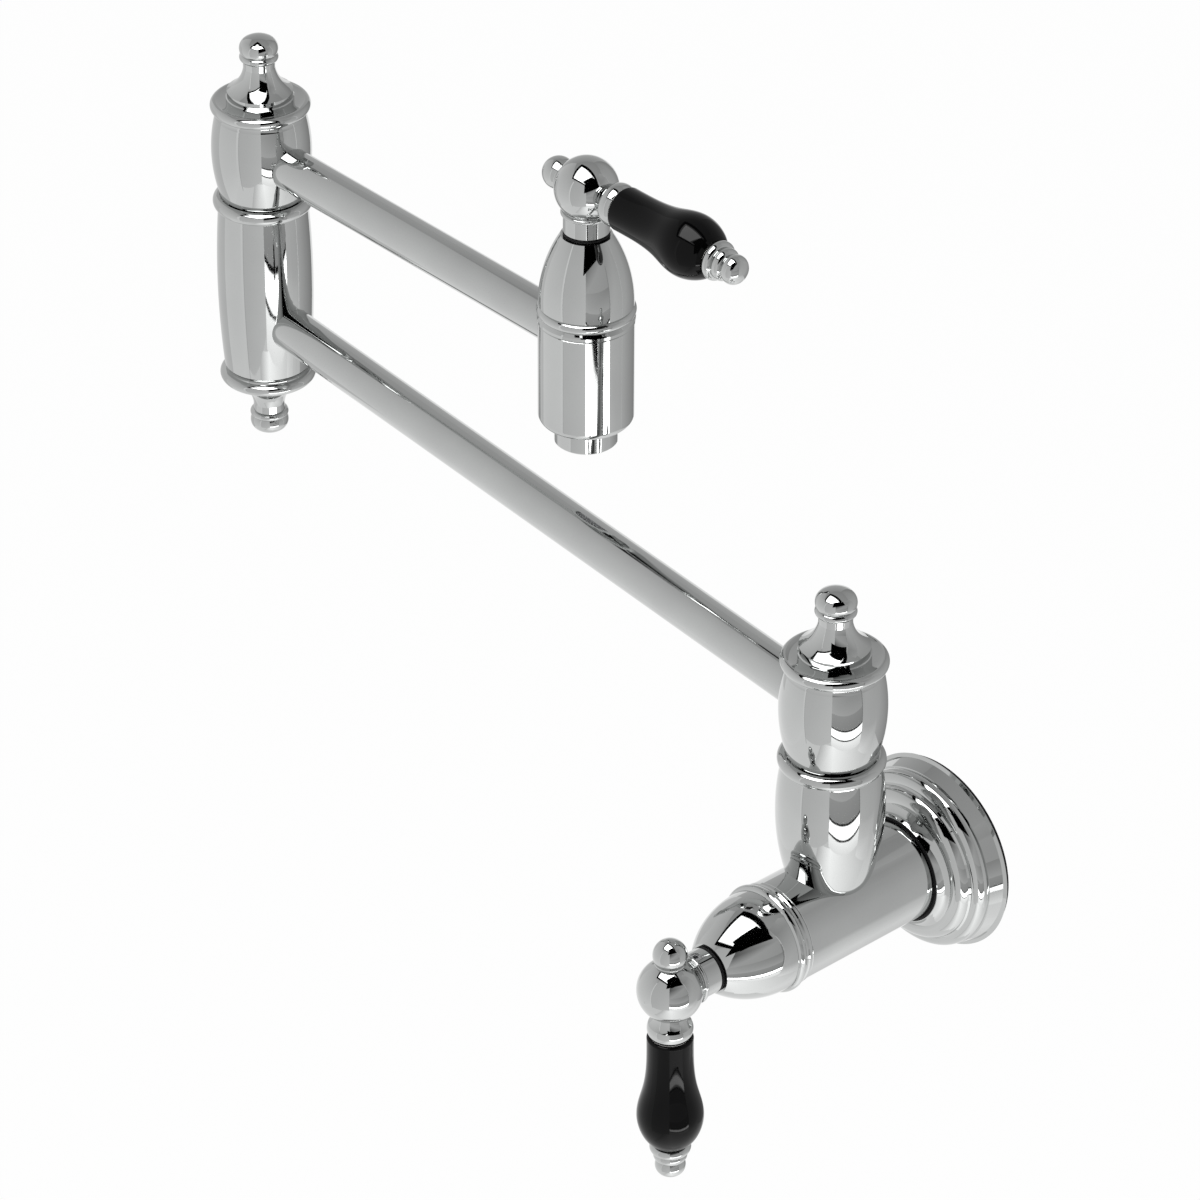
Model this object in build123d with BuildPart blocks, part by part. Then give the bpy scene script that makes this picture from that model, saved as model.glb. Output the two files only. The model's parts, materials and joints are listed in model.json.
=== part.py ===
"""Wall mounted pot filler with two swinging arms.

A valve body at the wall carries a hollow swivel post.  The long arm turns on it and carries the
elbow, whose own post carries the short arm and the spout.  The wall end and the spout each have a
quarter-turn ceramic disc valve under a lever handle with a porcelain grip.

Millimetres.  The origin is the middle of the wall face, +Z is up, +Y goes into the wall and the
arms are parked: the long arm lies along the wall towards -X, the short arm is folded back over it.
"""

import os
from math import atan2, cos, radians, sin, sqrt

from build123d import *

os.makedirs("parts", exist_ok=True)

# ---------------------------------------- where things stand
wall_to_tower = 56.0  # wall face to the tower's axis
arm_height = 85.0  # valve axis to the long arm's axis
arm_step = 71.0  # long arm's axis to the short arm's axis
long_reach = 356.0  # tower axis to elbow axis
short_reach = 192.5  # elbow axis to spout axis
park_angle = 5.0  # long arm leans this much towards the wall
fold_angle = 1.0  # short arm leans this much away from the wall

# ---------------------------------------- clearances
running_gap = 0.05  # radial, a shaft or seal that turns in its bore
seat_gap = 0.02  # radial, threads, presses and brazed joints that stay put
slide_gap = 0.05  # axial, faces that slide on each other
air_gap = 0.35  # between curved faces that must never touch
end_gap = 0.3  # axial, blind ends and shoulders that must not touch
cut_past = 1.0  # a cutter runs this far past the face it opens
edge_break = 0.3  # broken outer edge of a machined shoulder

# ---------------------------------------- arm tubes
tube_r = 8.55
tube_wall = 1.2
tube_stop_r = 13.0  # a tube ends this far from the axis of the part it enters

# ---------------------------------------- swivel, heights from the arm's axis
barrel_r = 19.6  # widest, at the arm
barrel_top_r = 17.8
barrel_top_z = 17.0
barrel_foot_r = 16.4
barrel_foot_z = -18.2
barrel_bottom_z = -19.5
barrel_toe_w = 0.9
barrel_toe_r = 1.8
ring_r = 19.6  # bead under the finial
ring_bead_r = 2.2
ring_z = 21.3
ring_cove_r = 3.0
ring_dish_r = 9.0
finial_seat_z = 22.8
finial_seat_r = 13.6
chamber_r = 11.8  # water chamber round the post
chamber_half = 8.0
chamber_slope = 1.5  # height of the chamber's sloping ends
nut_well_z = 12.9  # floor of the well that holds the nut
cup_floor_z = -20.7  # top face of the part below, inside its bead
cup_r = 17.0
seam_bead_z = -20.4
seam_bead_r = 2.65
seam_r = 19.7
post_r = 8.95
post_bore_r = 5.0
post_bore_top_z = 5.0
post_waist_r = 8.0
post_waist_half = 6.0
post_port_r = 2.6
post_ports = 4
port_turn = 45.0  # the first port or window stands this far round from the arm or lever
post_flange_r = 13.0
post_flange_h = 5.3
post_thread_r = 10.0
post_thread_h = 10.0
stud_r = 4.9
stud_end_z = 19.6
seal_z = (-13.0, 10.5)
seal_wire_r = 0.9
seal_groove_w = 2.4
glide_inner_r = post_r + air_gap
glide_outer_r = 15.4
top_washer_r = 11.3
top_washer_h = 1.0
nut_flats = 16.0
nut_h = 4.8

# ---------------------------------------- finial, (radius, height above its base)
finial_base_r = 13.3
finial_base_h = 4.8
lower_finial_base_h = 2.4  # the finial under the elbow has a thinner base
finial_step_r = 12.9
finial_step_share = (0.42, 0.5)  # the step's start and end as shares of the base's height
finial_neck = (6.2, 9.8)
finial_bell_r = 13.0
finial_collar_foot = (6.3, 12.8)
finial_collar_bead_r = 1.45
finial_groove = (6.9, 15.5)
finial_ball = (7.6, 17.8)
finial_crown = (5.9, 21.3)
finial_top_h = 23.1
spigot_h = 5.3
spigot_wall = 1.9
spigot_bore_h = 6.5

# ---------------------------------------- elbow's lower barrel, heights from the long arm's axis
elbow_shoulder_r = 17.7
elbow_belly_r = 18.85
elbow_belly_z = 10.0
elbow_waist_r = 17.1
elbow_waist_z = -21.8
elbow_cove_r = 2.6
elbow_ring_r = 19.0
elbow_ring_z = -27.0
elbow_ring_bead_r = 2.6
elbow_seat_z = -28.7
elbow_seat_r = 15.8
elbow_chamber_floor_z = -12.0

# ---------------------------------------- riser of the valve body, heights from the valve's axis
riser_shoulder_r = 18.3
riser_belly_r = 19.9
riser_belly_z = 42.0
riser_low_r = 16.4
riser_low_z = 18.0
riser_foot_z = 5.0
riser_bore_r = 5.6

# ---------------------------------------- valve body, heights from the tower's axis outwards
body_r = 19.6
body_back = 16.6  # wall face to the body's back face
body_back_break = 0.8
inlet_gap = 0.6  # wall face to the inlet adapter's end
inlet_collar_r = 14.5
inlet_flats = 26.0
inlet_flats_len = 9.0
inlet_r = 9.5
inlet_depth = 14.0
inlet_spigot_r = 12.0  # thread that holds the adapter in the body
inlet_spigot_len = 8.0
passage_r = 6.0
front_shoulder = 26.0

# ---------------------------------------- ceramic valve, heights along the valve's axis
valve_bore_r = 12.2
seat_depth = 11.0  # seat face below the port's axis
seal_h = 3.0
seal_bore_r = 5.2
disc_r = 7.9
disc_h = 3.0
disc_port_r = 6.4
disc_hub_r = 2.0
disc_port_angle = 84.0
nose_r = 9.0
nose_start = -10.4
nose_end = 8.0
nose_windows = 4
window_w = 6.0
window_from = -1.6
window_to = 5.4
thread_start = 10.0
thread_lead = 1.5
thread_h_above = 8.0  # bonnet thread above the shoulder
cartridge_flats = 24.0
cartridge_hex_h = 6.0
cartridge_neck_r = 7.2
stem_r = 4.9
stem_foot_r = 7.4
stem_foot_h = 3.0
tang_w = 4.0
tang_len = 11.0
tang_depth = 1.5
stem_seal_wire_r = 0.8
stem_seal_groove_w = 2.1
stem_seal_pitch = 4.0
stem_seal_inset = 2.0  # the first seal from the end of the hexagon
spline_r = 4.0
spline_teeth = 12
spline_tooth_w = 0.9
spline_depth = 0.45
spline_root = 0.3  # a tooth starts this far inside the core
spline_len = 12.0

# ---------------------------------------- bonnet, heights above the shoulder
lip_h = 1.6
lip_chamfer = 0.4
lip_rise = 0.35
lip_groove_h = 0.5
lip_groove_out = 0.1  # the groove stands this far outside the dome's foot
bead_h = 4.9
bead_half = 1.9
bead_depth = 1.4
dome_h = 7.3
neck_r = 9.6
cap_t = 2.4  # the dome's top wall
neck_space = 0.4  # round the cartridge's neck
front_bead_r = 20.9
front_dome_r = 19.5
front_spigot_r = 16.6
spout_bead_r = 18.6
spout_dome_r = 17.8
spout_spigot_r = 15.4

# ---------------------------------------- handle, distances from the hub's middle
front_hub_h = 77.5  # along the valve's axis from the port
spout_hub_h = 63.6
hub_r = 12.1
skirt_r = 8.7
skirt_end = -17.1
skirt_bead_r = 0.9
skirt_bead_at = -9.7
skirt_recess_r = 7.95
skirt_recess_end = -14.6
socket_end = -4.6
stem_end_gap = 0.4
neck_ring_wire_r = 0.7
neck_ring_r = 8.05
neck_ring_collar_r = 7.3
neck_ring_collar_h = 1.2
bonnet_hole_r = 5.3
grub_r = 2.0
grub_at = -12.2
grub_inset = 0.5
grub_socket_flats = 2.0
grub_socket_depth = 1.8
grub_turn = 180.0  # the grub screw faces away from the lever
lever_droop = 0.8  # the lever leans this much towards the body
knob_r = 6.3
knob_at = 15.1
knob_seat = 10.9
knob_neck_r = 4.9
knob_cuff_r = 5.6
knob_cuff_h = 1.2
knob_stud_r = 2.0
knob_stud_end = 5.5
lever_seat = 10.6
collar_neck_r = 5.4
collar_cove_r = 7.0
collar_flare = (7.9, 14.6)
collar_widest = (8.4, 16.5)
collar_rim = (7.5, 19.6)
washer_h = 0.5
heel_washer_r = 7.2
toe_washer_r = 6.0
rod_r = 3.0
rod_start = 4.0
rod_end = 76.0
grip_bore_r = 3.7
grip_heel_r = 8.5
grip_heel_w = 0.9
grip_heel_h = 1.2
grip_heel_round = 1.1
grip_mid = (10.1, 44.5)
grip_widest = (12.2, 56.8)
grip_toe_r = 8.0
grip_toe_w = 1.2
grip_toe_h = 0.9
grip_end = 67.7
tip_base_r = 6.35
tip_ring_1 = (7.6, 70.4)
tip_groove_1 = (5.8, 72.1)
tip_ring_2 = (6.2, 74.3)
tip_groove_2 = (4.7, 75.9)
tip_ball = (5.65, 78.7)
tip_crown = (4.35, 81.35)
tip_end = 82.65

# ---------------------------------------- spout and aerator, heights from the short arm's axis
spout_r = 17.95
spout_shoulder = tube_r + air_gap
spout_bottom = -33.6
spout_round = 3.0
outlet_thread_r = 10.8
outlet_thread_top = -24.0
aerator_r = 11.9
aerator_bottom = -42.6
aerator_inner_r = 9.7
aerator_lip_r = 8.9
aerator_lip_h = 1.0
aerator_chamfer = 0.6
aerator_seam = 0.3  # dark line between the spout and the aerator
aerator_washer_r = 7.4
aerator_washer_h = 2.0
insert_h = 9.0
insert_floor_h = 1.6
insert_wall = 1.1
insert_hole_r = 0.8
insert_rows = ((0.0, 1), (2.9, 6), (5.8, 12))

# ---------------------------------------- wall flange, heights out of the wall
gasket_t = 1.0
gasket_inset = 1.2  # the gasket's edge stands back this far under the rim
gasket_inner_r = 24.0
flange_bore_gap = 1.3  # round the body, closed by the flange's seal
flange_bore_r = body_r + flange_bore_gap
flange_r = 38.0
flange_rim_h = 2.1
flange_rim_break = 0.9
flange_wall = 2.0
flange_lip = (0.918, 2.6)  # (share of the way from the bore to the rim, height)
flange_band = (0.836, 8.1)
flange_bead_1 = (0.801, 8.3)
flange_bead_1_end = (0.585, 13.4)
flange_bead_2 = (0.55, 14.0)
flange_bead_2_end = (0.205, 17.6)
flange_crease = (0.17, 18.0)
flange_inside = ((0.16, 15.6), (0.47, 11.6), (0.7, 6.3))
flange_bead_1_sag = 1.76
flange_bead_2_sag = 1.56
flange_hub_sag = 0.35
flange_mouth_h = 21.0
flange_mouth_lip = 0.3
flange_land_h = 5.0
flange_seal_wire_r = 0.92
flange_seal_groove_w = 2.6
flange_seal_h = 20.5

# ---------------------------------------- frames
park = radians(park_angle)
fold = radians(fold_angle)
tower_xy = (0.0, -wall_to_tower)
elbow_xy = (tower_xy[0] - long_reach * cos(park), tower_xy[1] + long_reach * sin(park))
spout_xy = (elbow_xy[0] + short_reach * cos(fold), elbow_xy[1] - short_reach * sin(fold))
upper_z = arm_height + arm_step

wall = Plane(origin=(0, 0, 0), x_dir=(0, 0, -1), z_dir=(0, -1, 0))
front_valve = Plane(origin=(*tower_xy, 0), x_dir=(0, 0, -1), z_dir=(0, -1, 0))
riser_frame = Plane(origin=(*tower_xy, 0), x_dir=(1, 0, 0), z_dir=(0, 0, 1))
tower = Plane(origin=(*tower_xy, arm_height), x_dir=(-cos(park), sin(park), 0), z_dir=(0, 0, 1))
elbow_low = Plane(origin=(*elbow_xy, arm_height), x_dir=(cos(park), -sin(park), 0), z_dir=(0, 0, 1))
elbow = Plane(origin=(*elbow_xy, upper_z), x_dir=(cos(fold), -sin(fold), 0), z_dir=(0, 0, 1))
spout_tail = Plane(origin=(*spout_xy, upper_z), x_dir=(-cos(fold), sin(fold), 0), z_dir=(0, 0, 1))
spout_valve = Plane(origin=(*spout_xy, upper_z), x_dir=(1, 0, 0), z_dir=(0, 0, 1))


def section(frame):
    """Half-plane through a frame's axis: sketch x is the radius, sketch y the height."""
    return Plane(origin=frame.origin, x_dir=frame.x_dir, z_dir=frame.x_dir.cross(frame.z_dir))


def axis_of(frame):
    """The frame's own axis."""
    return Axis(frame.origin, frame.z_dir)


def outward(frame, height=0.0, angle=0.0):
    """Plane on the frame's axis at a height, facing out sideways at an angle from its x."""
    side = frame.x_dir * cos(radians(angle)) + frame.y_dir * sin(radians(angle))
    return Plane(origin=frame.offset(height).origin, x_dir=frame.z_dir, z_dir=side)


def leaning(frame):
    """Plane of the lever: it faces along the frame's x and droops towards the body."""
    droop = radians(lever_droop)
    return Plane(
        origin=frame.origin,
        x_dir=frame.z_dir * cos(droop) + frame.x_dir * sin(droop),
        z_dir=frame.x_dir * cos(droop) - frame.z_dir * sin(droop),
    )


def flipped(frame, height):
    """The frame turned upside down about its x, with its origin at a height of the first."""
    moved = frame.offset(height)
    return Plane(origin=moved.origin, x_dir=frame.x_dir, z_dir=-frame.z_dir)


def raised(point, height):
    """A profile point moved up."""
    return (point[0], point[1] + height)


def cap_middle(start, top):
    """Middle of the arc from a profile point to the axis whose centre lies on the axis."""
    rise = top - start.Y
    radius = (start.X**2 + rise**2) / (2 * rise)
    centre = top - radius
    half = atan2(start.X, start.Y - centre) / 2
    return (radius * sin(half), centre + radius * cos(half))


def save(piece, name):
    """Label a finished piece and write its file."""
    piece.part.label = name
    export_step(piece.part, f"parts/{name}.step")


def ring(frame, outer, inner, start, end, name):
    """A plain ring between two heights."""
    with BuildPart() as piece:
        with BuildSketch(frame.offset(start)):
            Circle(outer)
            Circle(inner, mode=Mode.SUBTRACT)
        extrude(amount=end - start)
    save(piece, name)


def wire_rings(frame, radius, wire, heights, name):
    """Round-section rings, one at each height."""
    with BuildPart() as piece:
        with BuildSketch(section(frame)):
            with Locations([(radius, height) for height in heights]):
                Circle(wire)
        revolve(axis=axis_of(frame))
    save(piece, name)


# ---------------------------------------- swivel, used at the tower and at the elbow
def seam_bead(frame):
    """Half-round bead round the top of the part below a swivel."""
    with BuildPart() as bead:
        with BuildSketch(section(frame)):
            with Locations((seam_r - seam_bead_r, seam_bead_z)):
                Circle(seam_bead_r)
        revolve(axis=axis_of(frame))
    return bead.part


def cup_cutter(frame):
    """Space for the barrel's foot, the post's flange and the post's thread."""
    cup_rim_z = seam_bead_z + seam_bead_r + cut_past
    with BuildPart() as cutter:
        for radius, start, depth in (
            (cup_r, cup_rim_z, cup_rim_z - cup_floor_z),
            (post_flange_r + seat_gap, cup_floor_z, post_flange_h),
            (post_thread_r + seat_gap, cup_floor_z, post_flange_h + post_thread_h),
        ):
            with BuildSketch(frame.offset(start)):
                Circle(radius)
            extrude(amount=-depth)
    return cutter.part


def swivel_barrel(frame, name):
    """Barrel that turns on the post, with its water chamber, seal lands and nut well."""
    with BuildPart() as barrel:
        with BuildSketch(section(frame)):
            with BuildLine():
                foot = Line((0, barrel_bottom_z), (barrel_foot_r - barrel_toe_w, barrel_bottom_z))
                toe = RadiusArc(foot @ 1, (barrel_foot_r, barrel_foot_z), -barrel_toe_r)
                belly = ThreePointArc(toe @ 1, (barrel_r, 0), (barrel_top_r, barrel_top_z))
                cove = RadiusArc(belly @ 1, (ring_r - ring_bead_r, ring_z - ring_bead_r), ring_cove_r)
                bead = ThreePointArc(
                    cove @ 1, (ring_r, ring_z), (ring_r - ring_bead_r, ring_z + ring_bead_r)
                )
                dish = RadiusArc(bead @ 1, (finial_seat_r, finial_seat_z), ring_dish_r)
                Polyline(dish @ 1, (0, finial_seat_z), (0, barrel_bottom_z))
            make_face()
        revolve(axis=axis_of(frame))
        with BuildSketch(section(frame)):
            with BuildLine():
                Polyline(
                    (0, barrel_bottom_z),
                    (post_r + running_gap, barrel_bottom_z),
                    (post_r + running_gap, -chamber_half),
                    (chamber_r, chamber_slope - chamber_half),
                    (chamber_r, chamber_half - chamber_slope),
                    (post_r + running_gap, chamber_half),
                    (post_r + running_gap, nut_well_z),
                    (chamber_r, nut_well_z),
                    (chamber_r, finial_seat_z),
                    (0, finial_seat_z),
                    close=True,
                )
            make_face()
        revolve(axis=axis_of(frame), mode=Mode.SUBTRACT)
        with BuildSketch(outward(frame).offset(post_r + cut_past)):
            Circle(tube_r + seat_gap)
        extrude(amount=barrel_r, mode=Mode.SUBTRACT)
    save(barrel, name)


def swivel_post(frame, name):
    """Hollow post: thread, flange, journal with two seal grooves, cross ports and a stud."""
    shoulder_z = nut_well_z + slide_gap
    thread_end_z = cup_floor_z - post_flange_h - post_thread_h
    with BuildPart() as post:
        with BuildSketch(frame.offset(thread_end_z)):
            Circle(post_thread_r)
        extrude(amount=post_thread_h)
        with BuildSketch(frame.offset(cup_floor_z)):
            Circle(post_flange_r)
        extrude(amount=-post_flange_h)
        with BuildSketch(frame.offset(cup_floor_z)):
            Circle(post_r)
        extrude(amount=shoulder_z - cup_floor_z)
        with BuildSketch(frame.offset(shoulder_z)):
            Circle(stud_r)
        extrude(amount=stud_end_z - shoulder_z)
        groove_r = post_r + running_gap - 2 * seal_wire_r - seat_gap
        for height in seal_z:
            with BuildSketch(section(frame)):
                with Locations((post_r, height)):
                    Rectangle(2 * (post_r - groove_r), seal_groove_w)
            revolve(axis=axis_of(frame), mode=Mode.SUBTRACT)
        with BuildSketch(section(frame)):
            with Locations((post_r, 0)):
                Rectangle(2 * (post_r - post_waist_r), 2 * post_waist_half)
        revolve(axis=axis_of(frame), mode=Mode.SUBTRACT)
        with BuildSketch(frame.offset(post_bore_top_z)):
            Circle(post_bore_r)
        extrude(amount=thread_end_z - cut_past - post_bore_top_z, mode=Mode.SUBTRACT)
        for number in range(post_ports):
            with BuildSketch(outward(frame, 0, port_turn + number * 360 / post_ports)):
                Circle(post_port_r)
            extrude(amount=post_r + cut_past, mode=Mode.SUBTRACT)
    save(post, name)


def finial(frame, base_h, name):
    """Turned finial that screws into a well; the frame stands on the seat."""
    step_start, step_end = (share * base_h for share in finial_step_share)
    with BuildPart() as piece:
        with BuildSketch(section(frame)):
            with BuildLine():
                base = Polyline(
                    (0, 0),
                    (finial_base_r, 0),
                    (finial_base_r, step_start),
                    (finial_step_r, step_end),
                    (finial_step_r, base_h),
                )
                bell = RadiusArc(base @ 1, raised(finial_neck, base_h), finial_bell_r)
                collar_foot = Line(bell @ 1, raised(finial_collar_foot, base_h))
                collar = RadiusArc(collar_foot @ 1, raised(finial_groove, base_h), -finial_collar_bead_r)
                crown = ThreePointArc(
                    collar @ 1, raised(finial_ball, base_h), raised(finial_crown, base_h)
                )
                top_h = base_h + finial_top_h
                cap = ThreePointArc(crown @ 1, cap_middle(crown @ 1, top_h), (0, top_h))
                Line(cap @ 1, (0, 0))
            make_face()
        revolve(axis=axis_of(frame))
        with BuildSketch(frame):
            Circle(chamber_r - seat_gap)
        extrude(amount=-spigot_h)
        with BuildSketch(frame.offset(-spigot_h)):
            Circle(chamber_r - seat_gap - spigot_wall)
        extrude(amount=spigot_bore_h, mode=Mode.SUBTRACT)
    save(piece, name)


def swivel_fittings(frame, side):
    """Post, seals, glide ring, washer, nut and finial of one swivel."""
    swivel_post(frame, f"{side}_post")
    seal_r = post_r + running_gap - seal_wire_r - seat_gap / 2
    wire_rings(frame, seal_r, seal_wire_r - seat_gap / 2, seal_z, f"{side}_post_o_rings")
    glide_top = barrel_bottom_z - slide_gap
    ring(frame, glide_outer_r, glide_inner_r, cup_floor_z, glide_top, f"{side}_glide_ring")
    washer_z = nut_well_z + slide_gap
    ring(frame, top_washer_r, stud_r + seat_gap, washer_z, washer_z + top_washer_h, f"{side}_post_washer")
    with BuildPart() as nut:
        with BuildSketch(frame.offset(washer_z + top_washer_h)):
            RegularPolygon(nut_flats / 2, 6, major_radius=False)
            Circle(stud_r + seat_gap, mode=Mode.SUBTRACT)
        extrude(amount=nut_h)
    save(nut, f"{side}_post_nut")


def arm_tube(start, end, reach, name):
    """Brass tube from one barrel to the next, both ends inside their sockets."""
    with BuildPart() as tube:
        with BuildSketch(outward(start).offset(tube_stop_r)):
            Circle(tube_r)
            Circle(tube_r - tube_wall, mode=Mode.SUBTRACT)
        extrude(amount=reach - 2 * tube_stop_r)
    save(tube, name)


# ---------------------------------------- ceramic disc valve, used at the wall and at the spout
with BuildSketch() as disc_ports:
    for turn in (0, 180):
        with BuildLine():
            port_rim = CenterArc((0, 0), disc_port_r, turn - disc_port_angle / 2, disc_port_angle)
            port_hub = CenterArc((0, 0), disc_hub_r, turn - disc_port_angle / 2, disc_port_angle)
            Line(port_rim @ 0, port_hub @ 0)
            Line(port_rim @ 1, port_hub @ 1)
        make_face()


def spline_sketch(gap):
    """Toothed outline of the stem's head, or of its socket when a gap is given."""
    Circle(spline_r - spline_depth + gap)
    tooth = spline_depth + spline_root
    with PolarLocations(spline_r - tooth / 2 + gap / 2, spline_teeth):
        Rectangle(tooth + gap, spline_tooth_w + 2 * gap)


def bonnet_top(hub_h):
    """Height of the bonnet's top, just under the neck's black ring."""
    return hub_h + skirt_end - air_gap - 2 * neck_ring_wire_r


def cartridge(frame, shoulder, hub_h, side):
    """Seat seal, two ceramic discs, stem with its seals, and the body that holds them."""
    seal_top = -seat_depth + seal_h
    fixed_top = seal_top + disc_h
    turning_top = fixed_top + disc_h + slide_gap
    spigot_end = shoulder + thread_h_above
    hex_end = spigot_end + cartridge_hex_h
    neck_end = bonnet_top(hub_h) - cap_t - end_gap
    ring(frame, disc_r, seal_bore_r, -seat_depth, seal_top, f"{side}_seat_seal")

    with BuildPart() as fixed_disc:
        with BuildSketch(frame.offset(seal_top)):
            Circle(disc_r)
            add(disc_ports.sketch, mode=Mode.SUBTRACT)
        extrude(amount=disc_h)
    save(fixed_disc, f"{side}_fixed_disc")

    with BuildPart() as turning_disc:
        with BuildSketch(frame.offset(fixed_top + slide_gap)):
            Circle(disc_r - running_gap)
            add(disc_ports.sketch, rotation=90, mode=Mode.SUBTRACT)
        extrude(amount=disc_h)
        with BuildSketch(frame.offset(turning_top)):
            Rectangle(tang_w + 2 * seat_gap, tang_len + 2 * seat_gap)
        extrude(amount=-tang_depth - seat_gap, mode=Mode.SUBTRACT)
    save(turning_disc, f"{side}_turning_disc")

    seal_heights = [hex_end - stem_seal_inset - stem_seal_pitch * number for number in (0, 1)]
    stem_groove_r = stem_r + running_gap - 2 * stem_seal_wire_r - seat_gap
    foot_top = nose_end - slide_gap
    stem_end = hub_h + socket_end - stem_end_gap
    with BuildPart() as stem:
        with BuildSketch(frame.offset(turning_top - tang_depth)):
            Rectangle(tang_w, tang_len)
            Circle(stem_foot_r, mode=Mode.INTERSECT)
        extrude(amount=foot_top - stem_foot_h - turning_top + tang_depth)
        with BuildSketch(frame.offset(foot_top - stem_foot_h)):
            Circle(stem_foot_r)
        extrude(amount=stem_foot_h)
        with BuildSketch(frame.offset(foot_top)):
            Circle(stem_r)
        extrude(amount=stem_end - spline_len - foot_top)
        with BuildSketch(frame.offset(stem_end)):
            spline_sketch(0)
        extrude(amount=-spline_len)
        for height in seal_heights:
            with BuildSketch(section(frame)):
                with Locations((stem_r, height)):
                    Rectangle(2 * (stem_r - stem_groove_r), stem_seal_groove_w)
            revolve(axis=axis_of(frame), mode=Mode.SUBTRACT)
    save(stem, f"{side}_stem")
    seal_r = stem_r + running_gap - stem_seal_wire_r - seat_gap / 2
    wire_rings(frame, seal_r, stem_seal_wire_r - seat_gap / 2, seal_heights, f"{side}_stem_o_rings")

    with BuildPart() as body:
        with BuildSketch(section(frame)):
            with BuildLine():
                Polyline(
                    (disc_r + seat_gap, nose_start),
                    (nose_r, nose_start),
                    (nose_r, thread_start),
                    (valve_bore_r - seat_gap, thread_start + thread_lead),
                    (valve_bore_r - seat_gap, spigot_end),
                    (cartridge_neck_r, spigot_end),
                    (cartridge_neck_r, neck_end),
                    (stem_r + running_gap, neck_end),
                    (stem_r + running_gap, nose_end),
                    (disc_r + seat_gap, nose_end),
                    close=True,
                )
            make_face()
        revolve(axis=axis_of(frame))
        with BuildSketch(frame.offset(spigot_end)):
            RegularPolygon(cartridge_flats / 2, 6, major_radius=False)
            Circle(stem_r + running_gap, mode=Mode.SUBTRACT)
        extrude(amount=cartridge_hex_h)
        for number in range(nose_windows):
            turn = port_turn + number * 360 / nose_windows
            with BuildSketch(outward(frame, (window_from + window_to) / 2, turn)):
                Rectangle(window_to - window_from, window_w)
            extrude(amount=nose_r + cut_past, mode=Mode.SUBTRACT)
    save(body, f"{side}_cartridge_body")


def bonnet(frame, shoulder, hub_h, bead_r, dome_r, spigot_r, side):
    """Beaded dome that screws on over the cartridge, with the black ring round its neck."""
    top = bonnet_top(hub_h)
    collar_top = top + neck_ring_collar_h
    groove_r = dome_r + lip_groove_out
    bead_foot_r = bead_r - bead_depth
    with BuildPart() as dome:
        with BuildSketch(section(frame)):
            with BuildLine():
                lip = Polyline(
                    (0, shoulder),
                    (groove_r, shoulder),
                    (groove_r + lip_rise, shoulder + lip_chamfer),
                    (groove_r + lip_rise, shoulder + lip_h),
                    (groove_r, shoulder + lip_h + lip_groove_h),
                    (bead_foot_r, shoulder + bead_h - bead_half),
                )
                bead = ThreePointArc(
                    lip @ 1, (bead_r, shoulder + bead_h), (bead_foot_r, shoulder + bead_h + bead_half)
                )
                step = Line(bead @ 1, (dome_r, shoulder + dome_h))
                ogive = TangentArc(step @ 1, (neck_r, top), tangent=(0, 1))
                Polyline(
                    ogive @ 1,
                    (neck_ring_collar_r, top),
                    (neck_ring_collar_r, collar_top),
                    (0, collar_top),
                    (0, shoulder),
                )
            make_face()
        revolve(axis=axis_of(frame))
        with BuildSketch(section(frame)):
            with BuildLine():
                entry = Polyline(
                    (0, shoulder),
                    (spigot_r + seat_gap, shoulder),
                    (spigot_r + seat_gap, shoulder + thread_h_above + end_gap),
                )
                inside = TangentArc(
                    entry @ 1, (cartridge_neck_r + neck_space, top - cap_t), tangent=(0, 1)
                )
                Polyline(
                    inside @ 1,
                    (bonnet_hole_r, top - cap_t),
                    (bonnet_hole_r, collar_top),
                    (0, collar_top),
                    (0, shoulder),
                )
            make_face()
        revolve(axis=axis_of(frame), mode=Mode.SUBTRACT)
    save(dome, f"{side}_bonnet")
    wire_rings(frame, neck_ring_r, neck_ring_wire_r, (top + neck_ring_wire_r,), f"{side}_neck_o_ring")


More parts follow.
